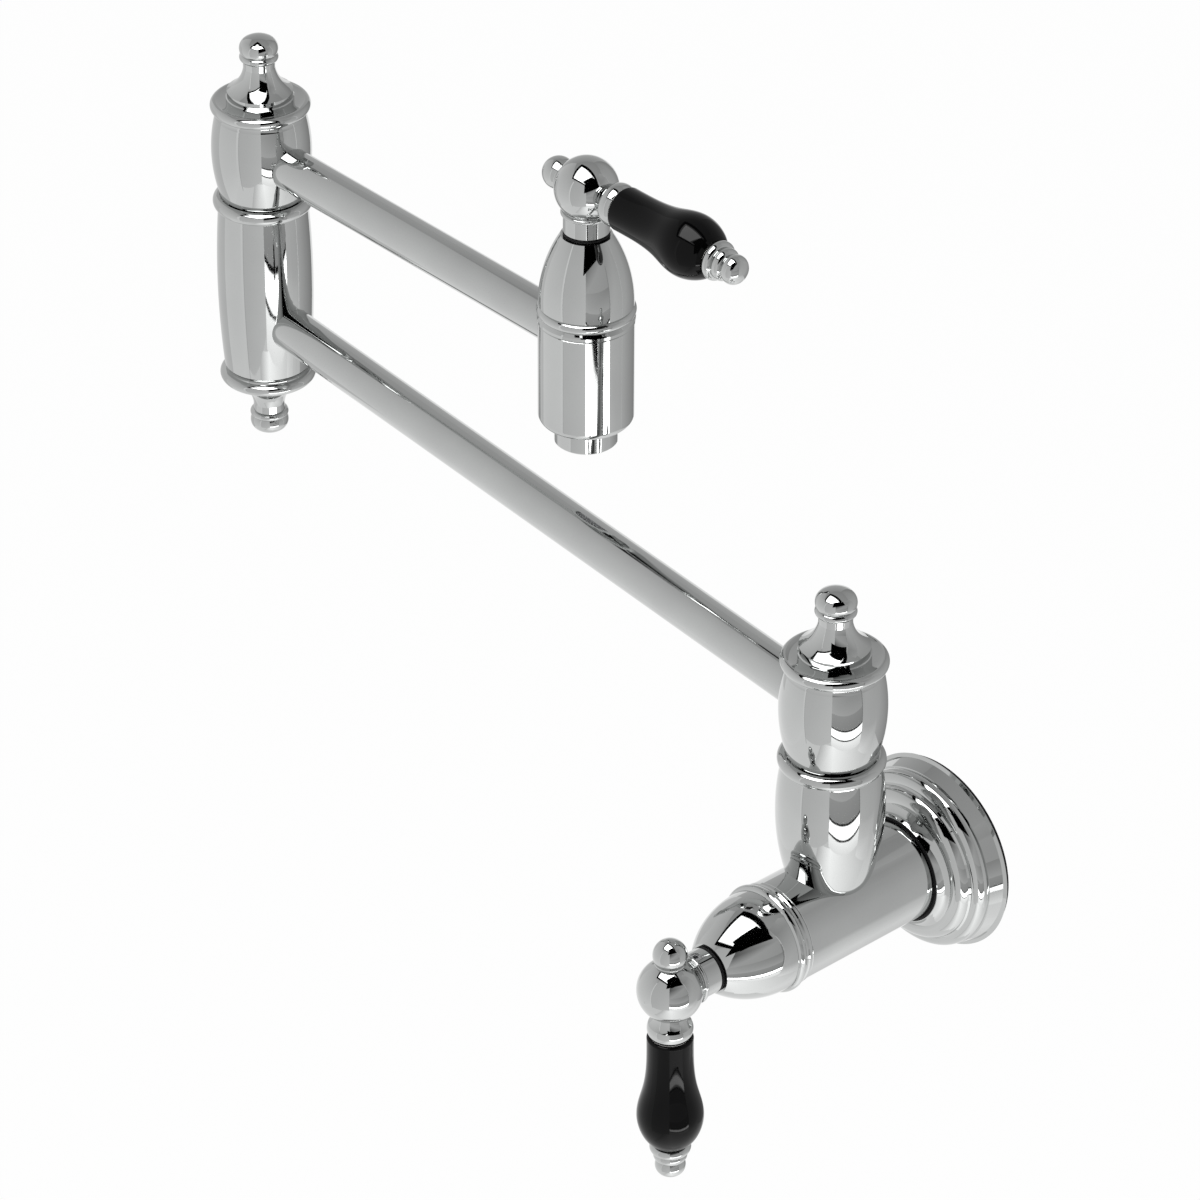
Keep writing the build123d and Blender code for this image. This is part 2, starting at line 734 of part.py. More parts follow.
def handle(frame, hub_h, side):
    """Hub, knob, grub screw and lever of one handle."""
    hub_frame = frame.offset(hub_h)
    lever = leaning(hub_frame)
    knob_frame = flipped(lever, 0)

    with BuildPart() as hub:
        with BuildSketch(section(hub_frame)):
            with BuildLine():
                join_z = -sqrt(hub_r**2 - skirt_r**2)
                crown = ThreePointArc((0, hub_r), (hub_r, 0), (skirt_r, join_z))
                Polyline(
                    crown @ 1,
                    (skirt_r, skirt_end),
                    (skirt_recess_r, skirt_end),
                    (skirt_recess_r, skirt_recess_end),
                    (0, skirt_recess_end),
                    (0, hub_r),
                )
            make_face()
            with Locations((skirt_r, skirt_bead_at)):
                Circle(skirt_bead_r)
        revolve(axis=axis_of(hub_frame))
        with BuildSketch(hub_frame.offset(socket_end)):
            spline_sketch(seat_gap)
        extrude(amount=skirt_end - socket_end, mode=Mode.SUBTRACT)
        for side_frame, seat, hole_r, hole_end in (
            (lever, lever_seat, rod_r, rod_start),
            (knob_frame, knob_seat, knob_stud_r, knob_stud_end),
        ):
            with BuildSketch(side_frame.offset(seat)):
                Circle(hub_r)
            extrude(amount=hub_r, mode=Mode.SUBTRACT)
            with BuildSketch(side_frame.offset(hole_end)):
                Circle(hole_r + seat_gap)
            extrude(amount=hub_r, mode=Mode.SUBTRACT)
        with BuildSketch(outward(hub_frame, grub_at, grub_turn)):
            Circle(grub_r + seat_gap)
        extrude(amount=hub_r, mode=Mode.SUBTRACT)
    save(hub, f"{side}_hub")

    grub_frame = outward(hub_frame, grub_at, grub_turn)
    grub_start_r = spline_r + 2 * seat_gap
    grub_end_r = skirt_r - grub_inset
    with BuildPart() as grub:
        with BuildSketch(grub_frame.offset(grub_start_r)):
            Circle(grub_r)
        extrude(amount=grub_end_r - grub_start_r)
        with BuildSketch(grub_frame.offset(grub_end_r)):
            RegularPolygon(grub_socket_flats / 2, 6, major_radius=False)
        extrude(amount=-grub_socket_depth, mode=Mode.SUBTRACT)
    save(grub, f"{side}_grub_screw")

    with BuildPart() as knob:
        with BuildSketch(section(knob_frame)):
            with BuildLine():
                cuff_end = knob_seat + knob_cuff_h
                groove_r = sqrt(knob_r**2 - (knob_at - cuff_end) ** 2)
                stud = Polyline(
                    (0, knob_stud_end + end_gap),
                    (knob_stud_r, knob_stud_end + end_gap),
                    (knob_stud_r, knob_seat),
                    (knob_neck_r, knob_seat),
                )
                cuff = ThreePointArc(
                    stud @ 1, (knob_cuff_r, knob_seat + knob_cuff_h / 2), (groove_r, cuff_end)
                )
                ball = ThreePointArc(cuff @ 1, (knob_r, knob_at), (0, knob_at + knob_r))
                Line(ball @ 1, (0, knob_stud_end + end_gap))
            make_face()
        revolve(axis=axis_of(knob_frame))
    save(knob, f"{side}_ball_knob")

    with BuildPart() as collar:
        with BuildSketch(section(lever)):
            with BuildLine():
                flare = RadiusArc((collar_neck_r, lever_seat), collar_flare, collar_cove_r)
                rim = ThreePointArc(flare @ 1, collar_widest, collar_rim)
                Polyline(
                    rim @ 1,
                    (rod_r + seat_gap, collar_rim[1]),
                    (rod_r + seat_gap, lever_seat),
                    (collar_neck_r, lever_seat),
                )
            make_face()
        revolve(axis=axis_of(lever))
    save(collar, f"{side}_lever_collar")

    with BuildPart() as washers:
        for start, radius in ((collar_rim[1], heel_washer_r), (grip_end, toe_washer_r)):
            with BuildSketch(lever.offset(start)):
                Circle(radius)
                Circle(rod_r + seat_gap, mode=Mode.SUBTRACT)
            extrude(amount=washer_h)
    save(washers, f"{side}_grip_washers")

    grip_start = collar_rim[1] + washer_h
    with BuildPart() as grip:
        with BuildSketch(section(lever)):
            with BuildLine():
                heel = RadiusArc(
                    (grip_heel_r - grip_heel_w, grip_start),
                    (grip_heel_r, grip_start + grip_heel_h),
                    -grip_heel_round,
                )
                flank = Spline(
                    heel @ 1,
                    grip_mid,
                    grip_widest,
                    (grip_toe_r, grip_end - grip_toe_h),
                    tangents=((0, 1), (-1, 1)),
                )
                toe = Line(flank @ 1, (grip_toe_r - grip_toe_w, grip_end))
                Polyline(toe @ 1, (grip_bore_r, grip_end), (grip_bore_r, grip_start), heel @ 0)
            make_face()
        revolve(axis=axis_of(lever))
    save(grip, f"{side}_grip")

    with BuildPart() as rod:
        with BuildSketch(lever.offset(rod_start + end_gap)):
            Circle(rod_r)
        extrude(amount=rod_end - rod_start - end_gap)
    save(rod, f"{side}_lever_rod")

    tip_start = grip_end + washer_h
    with BuildPart() as tip:
        with BuildSketch(section(lever)):
            with BuildLine():
                base = Line((0, tip_start), (tip_base_r, tip_start))
                ring_1 = ThreePointArc(base @ 1, tip_ring_1, tip_groove_1)
                ring_2 = ThreePointArc(ring_1 @ 1, tip_ring_2, tip_groove_2)
                ball = ThreePointArc(ring_2 @ 1, tip_ball, tip_crown)
                cap = ThreePointArc(ball @ 1, cap_middle(ball @ 1, tip_end), (0, tip_end))
                Line(cap @ 1, (0, tip_start))
            make_face()
        revolve(axis=axis_of(lever))
        with BuildSketch(lever.offset(tip_start)):
            Circle(rod_r + seat_gap)
        extrude(amount=rod_end + end_gap - tip_start, mode=Mode.SUBTRACT)
    save(tip, f"{side}_lever_tip")


def valve_cavity(frame, shoulder):
    """Space for a cartridge, from its seat to the end of the spigot."""
    with BuildPart() as cutter:
        with BuildSketch(frame.offset(-seat_depth)):
            Circle(valve_bore_r)
        extrude(amount=seat_depth + shoulder + thread_h_above)
    return cutter.part


# ---------------------------------------- wall flange, gasket and seal
flange_span = flange_r - flange_bore_r


def flange_at(point):
    """Profile point of the flange, from its share of the way out to the rim."""
    return (flange_bore_r + point[0] * flange_span, point[1])


with BuildPart() as wall_flange:
    with BuildSketch(section(wall)):
        with BuildLine():
            rim_inner = (flange_r - flange_wall, gasket_t)
            band = Polyline(
                rim_inner,
                (flange_r - flange_rim_break, gasket_t),
                (flange_r, gasket_t + flange_rim_break),
                (flange_r, flange_rim_h),
                flange_at(flange_lip),
                flange_at(flange_band),
            )
            step = Line(band @ 1, flange_at(flange_bead_1))
            bead_1 = SagittaArc(step @ 1, flange_at(flange_bead_1_end), -flange_bead_1_sag)
            valley = Line(bead_1 @ 1, flange_at(flange_bead_2))
            bead_2 = SagittaArc(valley @ 1, flange_at(flange_bead_2_end), -flange_bead_2_sag)
            crease = Line(bead_2 @ 1, flange_at(flange_crease))
            mouth_r = flange_bore_r + flange_mouth_lip
            hub = SagittaArc(crease @ 1, (mouth_r, flange_mouth_h), flange_hub_sag)
            Polyline(
                hub @ 1,
                (flange_bore_r, flange_mouth_h),
                (flange_bore_r, flange_mouth_h - flange_land_h),
                *(flange_at(point) for point in flange_inside),
                rim_inner,
            )
        make_face()
    revolve(axis=axis_of(wall))
save(wall_flange, "wall_flange")
ring(wall, flange_r - gasket_inset, gasket_inner_r, 0, gasket_t, "flange_gasket")
seal_groove_r = flange_bore_r - 2 * flange_seal_wire_r - 3 * seat_gap
seal_centre_r = flange_bore_r - seat_gap - flange_seal_wire_r
wire_rings(wall, seal_centre_r, flange_seal_wire_r, (flange_seal_h,), "flange_o_ring")

# ---------------------------------------- valve body with its riser
tower_bead = seam_bead(tower)
tower_cup = cup_cutter(tower)
front_cavity = valve_cavity(front_valve, front_shoulder)
with BuildPart() as valve_body:
    with BuildSketch(section(wall)):
        with BuildLine():
            Polyline(
                (0, body_back),
                (body_r - body_back_break, body_back),
                (body_r, body_back + body_back_break),
                (body_r, wall_to_tower + front_shoulder - edge_break),
                (body_r - edge_break, wall_to_tower + front_shoulder),
                (0, wall_to_tower + front_shoulder),
                close=True,
            )
        make_face()
    revolve(axis=axis_of(wall))
    with BuildSketch(section(riser_frame)):
        with BuildLine():
            riser_top = arm_height + seam_bead_z
            riser_side = ThreePointArc(
                (riser_low_r, riser_low_z),
                (riser_belly_r, riser_belly_z),
                (riser_shoulder_r, riser_top - seam_bead_r),
            )
            foot = TangentArc(riser_side @ 0, (0, riser_foot_z), tangent=-(riser_side % 0))
            Polyline(riser_side @ 1, (riser_shoulder_r, riser_top), (0, riser_top), foot @ 1)
        make_face()
    revolve(axis=axis_of(riser_frame))
    add(tower_bead)
    with BuildSketch(front_valve.offset(front_shoulder)):
        Circle(front_spigot_r)
    extrude(amount=thread_h_above)
    add(tower_cup, mode=Mode.SUBTRACT)
    add(front_cavity, mode=Mode.SUBTRACT)
    with BuildSketch(section(wall)):
        with Locations((body_r, flange_seal_h)):
            Rectangle(2 * (body_r - seal_groove_r), flange_seal_groove_w)
    revolve(axis=axis_of(wall), mode=Mode.SUBTRACT)
    with BuildSketch(wall.offset(body_back)):
        Circle(inlet_spigot_r + seat_gap)
    extrude(amount=inlet_spigot_len + end_gap, mode=Mode.SUBTRACT)
    with BuildSketch(wall.offset(body_back)):
        Circle(passage_r)
    extrude(amount=wall_to_tower - body_back, mode=Mode.SUBTRACT)
    with BuildSketch(riser_frame):
        Circle(riser_bore_r)
    extrude(amount=arm_height + cup_floor_z, mode=Mode.SUBTRACT)
save(valve_body, "valve_body")

# ---------------------------------------- inlet adapter in the back of the body
with BuildPart() as inlet_adapter:
    with BuildSketch(section(wall)):
        with BuildLine():
            Polyline(
                (inlet_r, inlet_gap),
                (inlet_collar_r - edge_break, inlet_gap),
                (inlet_collar_r, inlet_gap + edge_break),
                (inlet_collar_r, body_back),
                (inlet_spigot_r, body_back),
                (inlet_spigot_r, body_back + inlet_spigot_len),
                (passage_r, body_back + inlet_spigot_len),
                (passage_r, inlet_gap + inlet_depth),
                (inlet_r, inlet_gap + inlet_depth),
                close=True,
            )
        make_face()
    revolve(axis=axis_of(wall))
    with BuildSketch(wall.offset(inlet_gap)):
        Circle(inlet_collar_r + cut_past)
        Rectangle(inlet_flats, 2 * (inlet_collar_r + cut_past), mode=Mode.SUBTRACT)
    extrude(amount=inlet_flats_len, mode=Mode.SUBTRACT)
save(inlet_adapter, "inlet_adapter")

bonnet(front_valve, front_shoulder, front_hub_h, front_bead_r, front_dome_r, front_spigot_r, "front")
cartridge(front_valve, front_shoulder, front_hub_h, "front")
handle(front_valve, front_hub_h, "front")

# ---------------------------------------- tower swivel and long arm
swivel_barrel(tower, "tower_barrel")
swivel_fittings(tower, "tower")
finial(tower.offset(finial_seat_z), finial_base_h, "tower_finial")
arm_tube(tower, elbow_low, long_reach, "long_arm_tube")

elbow_bead = seam_bead(elbow)
elbow_cup = cup_cutter(elbow)
with BuildPart() as elbow_lower_barrel:
    cup_z = arm_step + seam_bead_z
    with BuildSketch(section(elbow_low)):
        with BuildLine():
            seat = Line((0, elbow_seat_z), (elbow_seat_r, elbow_seat_z))
            bead = ThreePointArc(
                seat @ 1,
                (elbow_ring_r, elbow_ring_z),
                (elbow_ring_r - elbow_ring_bead_r, elbow_ring_z + elbow_ring_bead_r),
            )
            cove = RadiusArc(bead @ 1, (elbow_waist_r, elbow_waist_z), elbow_cove_r)
            belly = Spline(
                cove @ 1,
                (elbow_belly_r, elbow_belly_z),
                (elbow_shoulder_r, cup_z - seam_bead_r),
            )
            Polyline(belly @ 1, (elbow_shoulder_r, cup_z), (0, cup_z), (0, elbow_seat_z))
        make_face()
    revolve(axis=axis_of(elbow_low))
    add(elbow_bead)
    add(elbow_cup, mode=Mode.SUBTRACT)
    with BuildSketch(elbow_low.offset(elbow_chamber_floor_z)):
        Circle(post_thread_r + seat_gap)
    extrude(amount=arm_step + cup_floor_z - elbow_chamber_floor_z, mode=Mode.SUBTRACT)
    with BuildSketch(outward(elbow_low).offset(post_r + cut_past)):
        Circle(tube_r + seat_gap)
    extrude(amount=elbow_belly_r, mode=Mode.SUBTRACT)
    with BuildSketch(elbow_low.offset(elbow_seat_z)):
        Circle(chamber_r)
    extrude(amount=spigot_h + end_gap, mode=Mode.SUBTRACT)
save(elbow_lower_barrel, "elbow_lower_barrel")
finial(flipped(elbow_low, elbow_seat_z), lower_finial_base_h, "elbow_lower_finial")

# ---------------------------------------- elbow swivel and short arm
swivel_barrel(elbow, "elbow_barrel")
swivel_fittings(elbow, "elbow")
finial(elbow.offset(finial_seat_z), finial_base_h, "elbow_finial")
arm_tube(elbow, spout_tail, short_reach, "short_arm_tube")

# ---------------------------------------- spout
spout_cavity = valve_cavity(spout_valve, spout_shoulder)
with BuildPart() as spout_body:
    with BuildSketch(section(spout_valve)):
        with BuildLine():
            bottom = Line((0, spout_bottom), (spout_r - spout_round, spout_bottom))
            corner = RadiusArc(bottom @ 1, (spout_r, spout_bottom + spout_round), -spout_round)
            Polyline(
                corner @ 1,
                (spout_r, spout_shoulder - edge_break),
                (spout_r - edge_break, spout_shoulder),
                (0, spout_shoulder),
                (0, spout_bottom),
            )
        make_face()
    revolve(axis=axis_of(spout_valve))
    with BuildSketch(spout_valve.offset(spout_shoulder)):
        Circle(spout_spigot_r)
    extrude(amount=thread_h_above)
    add(spout_cavity, mode=Mode.SUBTRACT)
    with BuildSketch(spout_valve):
        Circle(passage_r)
    extrude(amount=spout_bottom, mode=Mode.SUBTRACT)
    with BuildSketch(spout_valve.offset(spout_bottom)):
        Circle(outlet_thread_r + seat_gap)
    extrude(amount=outlet_thread_top - spout_bottom, mode=Mode.SUBTRACT)
    with BuildSketch(outward(spout_tail).offset(valve_bore_r - cut_past)):
        Circle(tube_r + seat_gap)
    extrude(amount=spout_r, mode=Mode.SUBTRACT)
save(spout_body, "spout_body")

bonnet(spout_valve, spout_shoulder, spout_hub_h, spout_bead_r, spout_dome_r, spout_spigot_r, "spout")
cartridge(spout_valve, spout_shoulder, spout_hub_h, "spout")
handle(spout_valve, spout_hub_h, "spout")

# ---------------------------------------- aerator
washer_bottom = outlet_thread_top - aerator_washer_h
ring(spout_valve, outlet_thread_r, aerator_washer_r, washer_bottom, outlet_thread_top, "aerator_washer")
with BuildPart() as aerator_housing:
    with BuildSketch(section(spout_valve)):
        with BuildLine():
            Polyline(
                (aerator_lip_r, aerator_bottom),
                (aerator_r - aerator_chamfer, aerator_bottom),
                (aerator_r, aerator_bottom + aerator_chamfer),
                (aerator_r, spout_bottom - aerator_seam),
                (outlet_thread_r, spout_bottom - aerator_seam),
                (outlet_thread_r, washer_bottom),
                (aerator_inner_r, washer_bottom),
                (aerator_inner_r, aerator_bottom + aerator_lip_h),
                (aerator_lip_r, aerator_bottom + aerator_lip_h),
                close=True,
            )
        make_face()
    revolve(axis=axis_of(spout_valve))
save(aerator_housing, "aerator_housing")

with BuildPart() as aerator_insert:
    insert_bottom = aerator_bottom + aerator_lip_h
    with BuildSketch(spout_valve.offset(insert_bottom)):
        Circle(aerator_inner_r - seat_gap)
    extrude(amount=insert_h)
    with BuildSketch(spout_valve.offset(insert_bottom + insert_floor_h)):
        Circle(aerator_inner_r - seat_gap - insert_wall)
    extrude(amount=insert_h, mode=Mode.SUBTRACT)
    for row_r, count in insert_rows:
        with BuildSketch(spout_valve.offset(insert_bottom)):
            with PolarLocations(row_r, count):
                Circle(insert_hole_r)
        extrude(amount=insert_floor_h, mode=Mode.SUBTRACT)
save(aerator_insert, "aerator_insert")
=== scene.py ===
"""Looks for a wall mounted pot filler in polished chrome, with black porcelain grips.

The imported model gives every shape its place. This script gives each surface its finish, adds the fine pieces
that the model leaves out (the inlet's thread and the aerator's wire screen), and sets up the camera, the
floor, the lamps and the cards that the chrome reflects.
"""

from __future__ import annotations

import json
import logging
import math
from dataclasses import dataclass
from enum import Enum
from typing import Any, Iterable, Mapping, Union

import bpy
from mathutils import Matrix, Vector


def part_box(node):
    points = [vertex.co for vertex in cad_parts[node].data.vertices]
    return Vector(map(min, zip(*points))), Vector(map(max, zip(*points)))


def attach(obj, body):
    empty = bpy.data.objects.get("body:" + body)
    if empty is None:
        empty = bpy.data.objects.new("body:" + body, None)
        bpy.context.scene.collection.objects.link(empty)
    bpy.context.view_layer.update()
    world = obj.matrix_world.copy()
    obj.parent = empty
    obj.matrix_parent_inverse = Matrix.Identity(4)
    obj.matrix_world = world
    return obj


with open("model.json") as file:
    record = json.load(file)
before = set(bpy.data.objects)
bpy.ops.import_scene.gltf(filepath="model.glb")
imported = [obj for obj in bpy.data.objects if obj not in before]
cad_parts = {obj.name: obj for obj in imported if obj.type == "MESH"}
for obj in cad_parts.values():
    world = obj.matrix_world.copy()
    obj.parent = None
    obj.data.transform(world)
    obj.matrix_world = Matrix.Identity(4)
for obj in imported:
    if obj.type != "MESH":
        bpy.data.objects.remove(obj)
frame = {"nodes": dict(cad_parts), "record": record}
log = logging.getLogger("pot_filler")

Colour = tuple[float, float, float]
Place = tuple[float, float, float]
Levels = tuple[float, float, float, float]


class Slot(Enum):
    """The record's material slots."""

    POLISHED_CHROME = "polished_chrome"
    CHROMED_TUBE = "chromed_tube"
    RAW_BRASS = "raw_brass"
    STAINLESS_STEEL = "stainless_steel"
    BLACK_RUBBER = "black_rubber"
    BLACK_PORCELAIN = "black_porcelain"
    ALUMINA_CERAMIC = "alumina_ceramic"
    WHITE_ACETAL = "white_acetal"
    GREY_PLASTIC = "grey_plastic"


class Axis(Enum):
    """The direction that a turned piece's axis runs in."""

    UP = "Z"
    OUT = "Y"


# ------------------------------------------------------------------ nodes
class Wire:
    """One output of a node, which adds, multiplies and compares like a number."""

    def __init__(self, bench: Bench, socket: bpy.types.NodeSocket) -> None:
        """Keep the bench that makes the maths nodes and the socket that carries the value."""
        self.bench = bench
        self.socket = socket

    def maths(self, operation: str, other: Number, swapped: bool = False) -> Wire:
        """Join this value and another by one maths node.

        Args:
            operation: the maths node's operation.
            other: a number or another wire.
            swapped: whether the other value comes first.

        Returns:
            The maths node's output.
        """
        pair = (other, self) if swapped else (self, other)
        node = self.bench.node("ShaderNodeMath", {"operation": operation}, {0: pair[0], 1: pair[1]})
        return self.bench.wire(node)

    def __add__(self, other: Number) -> Wire:
        """Return the sum."""
        return self.maths("ADD", other)

    __radd__ = __add__

    def __sub__(self, other: Number) -> Wire:
        """Return the difference."""
        return self.maths("SUBTRACT", other)

    def __rsub__(self, other: Number) -> Wire:
        """Return the other value less this one."""
        return self.maths("SUBTRACT", other, swapped=True)

    def __mul__(self, other: Number) -> Wire:
        """Return the product."""
        return self.maths("MULTIPLY", other)

    __rmul__ = __mul__

    def at_least(self, other: Number) -> Wire:
        """Return the larger of this value and another."""
        return self.maths("MAXIMUM", other)

    def sine(self) -> Wire:
        """Return the sine of this value, in radians."""
        return self.maths("SINE", 0.0)

    def mixed(self, other: Wire, share: float) -> Wire:
        """Return this value with a share of another mixed in."""
        return self * (1.0 - share) + other * share


Number = Union[float, int, Wire]


class Bench:
    """A node tree under construction."""

    def __init__(self, tree: bpy.types.NodeTree) -> None:
        """Start from an empty tree."""
        self.tree = tree
        self.tree.nodes.clear()

    def node(
        self,
        kind: str,
        settings: Mapping[str, Any] | None = None,
        inputs: Mapping[Any, Any] | None = None,
    ) -> bpy.types.Node:
        """Make one node, set its options first and then its sockets.

        Args:
            kind: the node's type name.
            settings: properties of the node itself.
            inputs: a value, a wire or a socket for each input, by name or number.

        Returns:
            The new node.
        """
        node = self.tree.nodes.new(kind)
        for key, value in (settings or {}).items():
            setattr(node, key, value)
        for key, value in (inputs or {}).items():
            if isinstance(value, Wire):
                value = value.socket
            if isinstance(value, bpy.types.NodeSocket):
                self.tree.links.new(value, node.inputs[key])
            else:
                node.inputs[key].default_value = value
        return node

    def wire(self, node: bpy.types.Node, output: str | int = 0) -> Wire:
        """Return one output of a node as a wire."""
        return Wire(self, node.outputs[output])


class Paint(Bench):
    """A surface material with one main shader."""

    def __init__(self, name: str, **constants: Any) -> None:
        """Make the material and set the shader values that are the same all over.

        Args:
            name: the material's name.
            **constants: shader socket values, with the spaces of a name written as underscores.
        """
        self.material = bpy.data.materials.new(name)
        self.material.use_nodes = True
        super().__init__(self.material.node_tree)
        values = {key.replace("_", " "): value for key, value in constants.items()}
        self.shader = self.node("ShaderNodeBsdfPrincipled", inputs=values)
        self.node("ShaderNodeOutputMaterial", inputs={"Surface": self.shader.outputs[0]})
        self.place = self.node("ShaderNodeTexCoord").outputs["Object"]

    def stretched(self, scale: Place) -> bpy.types.NodeSocket:
        """Return the object's coordinates, multiplied by a scale along each axis."""
        return self.node("ShaderNodeMapping", inputs={"Vector": self.place, "Scale": scale}).outputs[0]

    def noise(self, scale: float, detail: float, vector: bpy.types.NodeSocket | None = None) -> Wire:
        """Return a noise value, from 0 to 1 and mostly near a half."""
        where = self.place if vector is None else vector
        values = {"Vector": where, "Scale": scale, "Detail": detail}
        return self.wire(self.node("ShaderNodeTexNoise", inputs=values), "Fac")

    def blend(self, factor: Number, first: Colour, second: Colour) -> bpy.types.NodeSocket:
        """Return a colour between two, by a factor."""
        values = {"Factor": factor, "A": (*first, 1.0), "B": (*second, 1.0)}
        return self.node("ShaderNodeMix", {"data_type": "RGBA"}, values).outputs["Result"]

    def ramp(self, value: Wire, low: float, high: float) -> Wire:
        """Return 0 below one value and 1 above another, with a straight line between."""
        values = {"Value": value, "From Min": low, "From Max": high}
        return self.wire(self.node("ShaderNodeMapRange", inputs=values))

    def feed(self, **sockets: Any) -> None:
        """Link values that vary over the surface to the shader."""
        for key, value in sockets.items():
            source = value.socket if isinstance(value, Wire) else value
            self.tree.links.new(source, self.shader.inputs[key.replace("_", " ")])

    def bump(self, height: Wire, distance: float) -> bpy.types.NodeSocket:
        """Return a normal pushed in and out by a height, which is worth a distance in metres."""
        return self.node("ShaderNodeBump", inputs={"Height": height, "Distance": distance}).outputs[0]


# ------------------------------------------------------------------ finishes
NOISE_MEAN = 0.5
# How finely a noise is broken up, from rounded to crumbled.
ROUNDED, PLAIN, BROKEN, CRUMBLED = 1.0, 2.0, 3.0, 4.0


@dataclass(frozen=True)
class Chrome:
    """Bright nickel and chrome plate over polished brass."""

    name: str
    colour: Colour = (0.535, 0.545, 0.54)
    deep: Colour = (0.50, 0.508, 0.505)
    roughness: float = 0.035
    haze: float = 0.03
    smear_scale: float = 38.0
    grain_scale: float = 2600.0
    tone_grain: float = 0.3
    tone_range: tuple[float, float] = (0.35, 0.65)
    haze_grain: float = 0.5
    ripple_scale: float = 55.0
    ripple: float = 0.000012
    drawn: bool = False
    drawn_stretch: Place = (9.0, 1500.0, 1500.0)
    drawn_height: float = 0.04

    def make(self) -> bpy.types.Material:
        """Return the material: a mirror with a little haze and ripple, and on a tube faint drawn lines."""
        paint = Paint(self.name, Metallic=1.0)
        smear = paint.noise(self.smear_scale, BROKEN)
        grain = paint.noise(self.grain_scale, ROUNDED)
        tone = paint.ramp(smear.mixed(grain, self.tone_grain), *self.tone_range)
        clearest = self.roughness - NOISE_MEAN * (1.0 + self.haze_grain) * self.haze
        rough = smear * self.haze + grain * (self.haze * self.haze_grain) + clearest
        height = paint.noise(self.ripple_scale, ROUNDED)
        if self.drawn:
            lines = paint.noise(1.0, PLAIN, paint.stretched(self.drawn_stretch))
            rough = rough + lines * self.haze
            height = height + lines * self.drawn_height
        paint.feed(
            Base_Color=paint.blend(tone, self.deep, self.colour),
            Roughness=rough,
            Normal=paint.bump(height, self.ripple),
        )
        return paint.material


@dataclass(frozen=True)
class Porcelain:
    """Black glazed porcelain."""

    name: str
    body: Colour = (0.0008, 0.0008, 0.0009)
    pooled: Colour = (0.002, 0.002, 0.0022)
    specular: float = 0.14
    pool_scale: float = 90.0
    gloss_scale: float = 300.0
    smoothest: float = 0.045
    gloss_spread: float = 0.03
    wave_scale: float = 120.0
    wave: float = 0.00002

    def make(self) -> bpy.types.Material:
        """Return the material: a deep black body under a clear, slightly wavy glaze."""
        paint = Paint(self.name, Specular_IOR_Level=self.specular)
        pooling = paint.noise(self.pool_scale, PLAIN)
        paint.feed(
            Base_Color=paint.blend(pooling, self.body, self.pooled),
            Roughness=paint.noise(self.gloss_scale, PLAIN) * self.gloss_spread + self.smoothest,
            Normal=paint.bump(paint.noise(self.wave_scale, ROUNDED), self.wave),
        )
        return paint.material


@dataclass(frozen=True)
class Moulded:
    """Rubber, plastic or pressed ceramic, with a fine grain."""

    name: str
    light: Colour
    dark: Colour
    roughness: float
    specular: float = 0.5
    grain_scale: float = 900.0
    cloud_size: float = 18.0
    cloud_share: float = 0.5
    gloss_spread: float = 0.16
    depth: float = 0.00001

    def make(self) -> bpy.types.Material:
        """Return the material: a mottled colour with a matching grain in its gloss and its skin."""
        paint = Paint(self.name, Specular_IOR_Level=self.specular)
        grain = paint.noise(self.grain_scale, CRUMBLED)
        cloud = paint.noise(self.grain_scale / self.cloud_size, PLAIN)
        smoothest = self.roughness - NOISE_MEAN * self.gloss_spread
        paint.feed(
            Base_Color=paint.blend(grain.mixed(cloud, self.cloud_share), self.dark, self.light),
            Roughness=grain * self.gloss_spread + smoothest,
            Normal=paint.bump(grain, self.depth),
        )
        return paint.material


@dataclass(frozen=True)
class Turned:
    """Bare metal with the fine rings that a lathe leaves."""

    name: str
    light: Colour
    dark: Colour
    roughness: float
    axis: Axis
    pitch: float = 0.00022
    uneven_scale: float = 420.0
    stain_scale: float = 60.0
    ring_tint: float = 0.3
    uneven_gloss: float = 0.14
    ring_gloss: float = 0.05
    gloss_drop: float = 0.1
    uneven_height: float = 0.4
    depth: float = 0.000008

    def make(self) -> bpy.types.Material:
        """Return the material: rings across the piece's axis, with a slight stain."""
        paint = Paint(self.name, Metallic=1.0)
        apart = paint.node("ShaderNodeSeparateXYZ", inputs={0: paint.place})
        along = paint.wire(apart, self.axis.value)
        ring = (along * (math.tau / self.pitch)).sine() * 0.5 + 0.5
        uneven = paint.noise(self.uneven_scale, BROKEN)
        stain = paint.noise(self.stain_scale, BROKEN)
        smoothest = self.roughness - self.gloss_drop
        paint.feed(
            Base_Color=paint.blend(stain.mixed(ring, self.ring_tint), self.dark, self.light),
            Roughness=uneven * self.uneven_gloss + ring * self.ring_gloss + smoothest,
            Normal=paint.bump(ring.mixed(uneven, self.uneven_height), self.depth),
        )
        return paint.material


Finish = Union[Chrome, Porcelain, Moulded, Turned]


